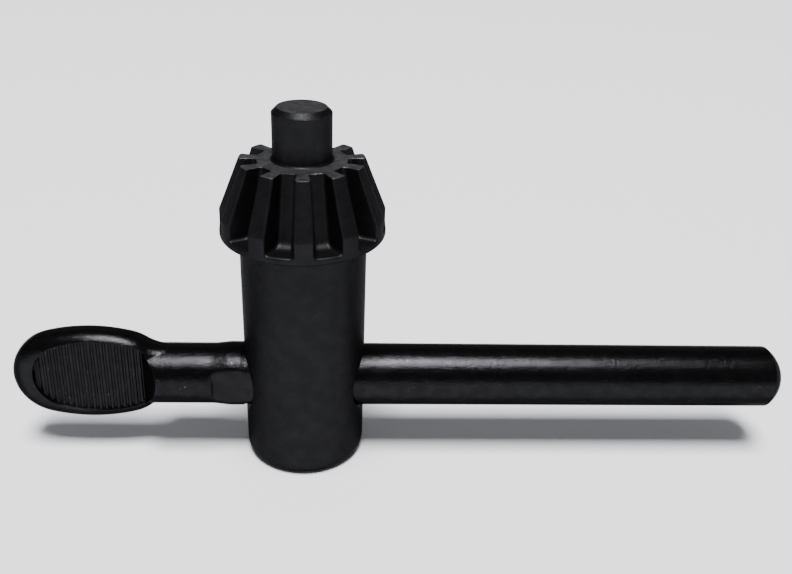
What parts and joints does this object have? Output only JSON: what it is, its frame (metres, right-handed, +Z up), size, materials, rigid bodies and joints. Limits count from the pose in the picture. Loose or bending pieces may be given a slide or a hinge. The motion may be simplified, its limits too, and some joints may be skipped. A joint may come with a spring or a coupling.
{
  "type": "drill chuck key",
  "caption": "Drill chuck key: round pilot and bevel pinion on an upright barrel, with a cross handle that ends in an oval ribbed thumb pad.",
  "frame": {"origin": "centre of the barrel's flat foot, on the stem's axis", "axes": "+Z up the stem towards the pilot, +X along the handle's long plain end, thumb pad at -X"},
  "size_m": [0.1145, 0.0226, 0.0528],
  "materials": {
    "body_steel": "turned steel, black oxide, satin",
    "handle_steel": "forged steel, black oxide, oiled semi-gloss"
  },
  "bodies": {
    "root": {"key_body": "body_steel", "thumb_handle": "handle_steel"}
  },
  "joints": []
}
